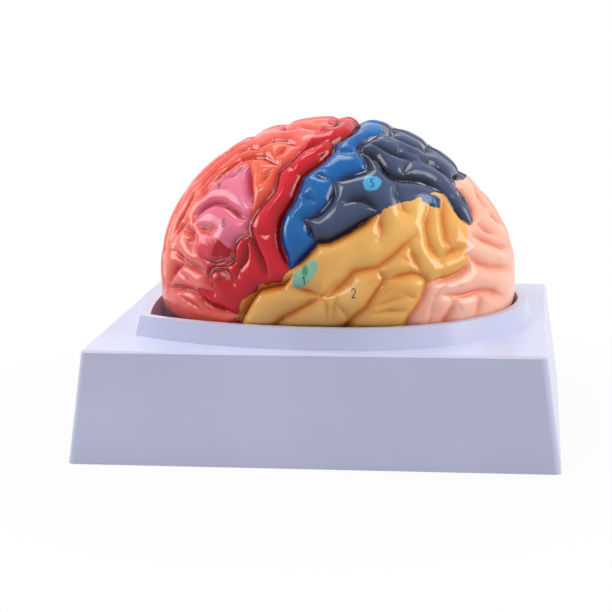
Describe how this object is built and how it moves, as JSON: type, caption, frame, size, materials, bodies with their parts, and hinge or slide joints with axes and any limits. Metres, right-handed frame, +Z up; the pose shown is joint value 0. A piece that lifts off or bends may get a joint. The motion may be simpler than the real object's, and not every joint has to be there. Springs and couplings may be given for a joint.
{
  "type": "brain anatomy model",
  "caption": "Human brain anatomy model: gloss-painted, colour-coded lobes with raised folds, parted down the middle and standing in a white plastic tray with an oval collar.",
  "frame": {"origin": "middle of the tray's footprint, on the table", "axes": "+Z up; +X from the frontal pole to the occipital pole; -Y is the brain's left half, the side the picture shows"},
  "size_m": [0.2126, 0.163, 0.1423],
  "materials": {
    "tray_plastic": "gloss, moulded",
    "painted_vinyl": "gloss hand paint over cast vinyl",
    "pin_plastic": "moulded, satin"
  },
  "bodies": {
    "root": {"base_tray": "tray_plastic", "left_half": "painted_vinyl", "right_half": "painted_vinyl", "front_locating_pin": "pin_plastic", "rear_locating_pin": "pin_plastic"}
  },
  "joints": []
}
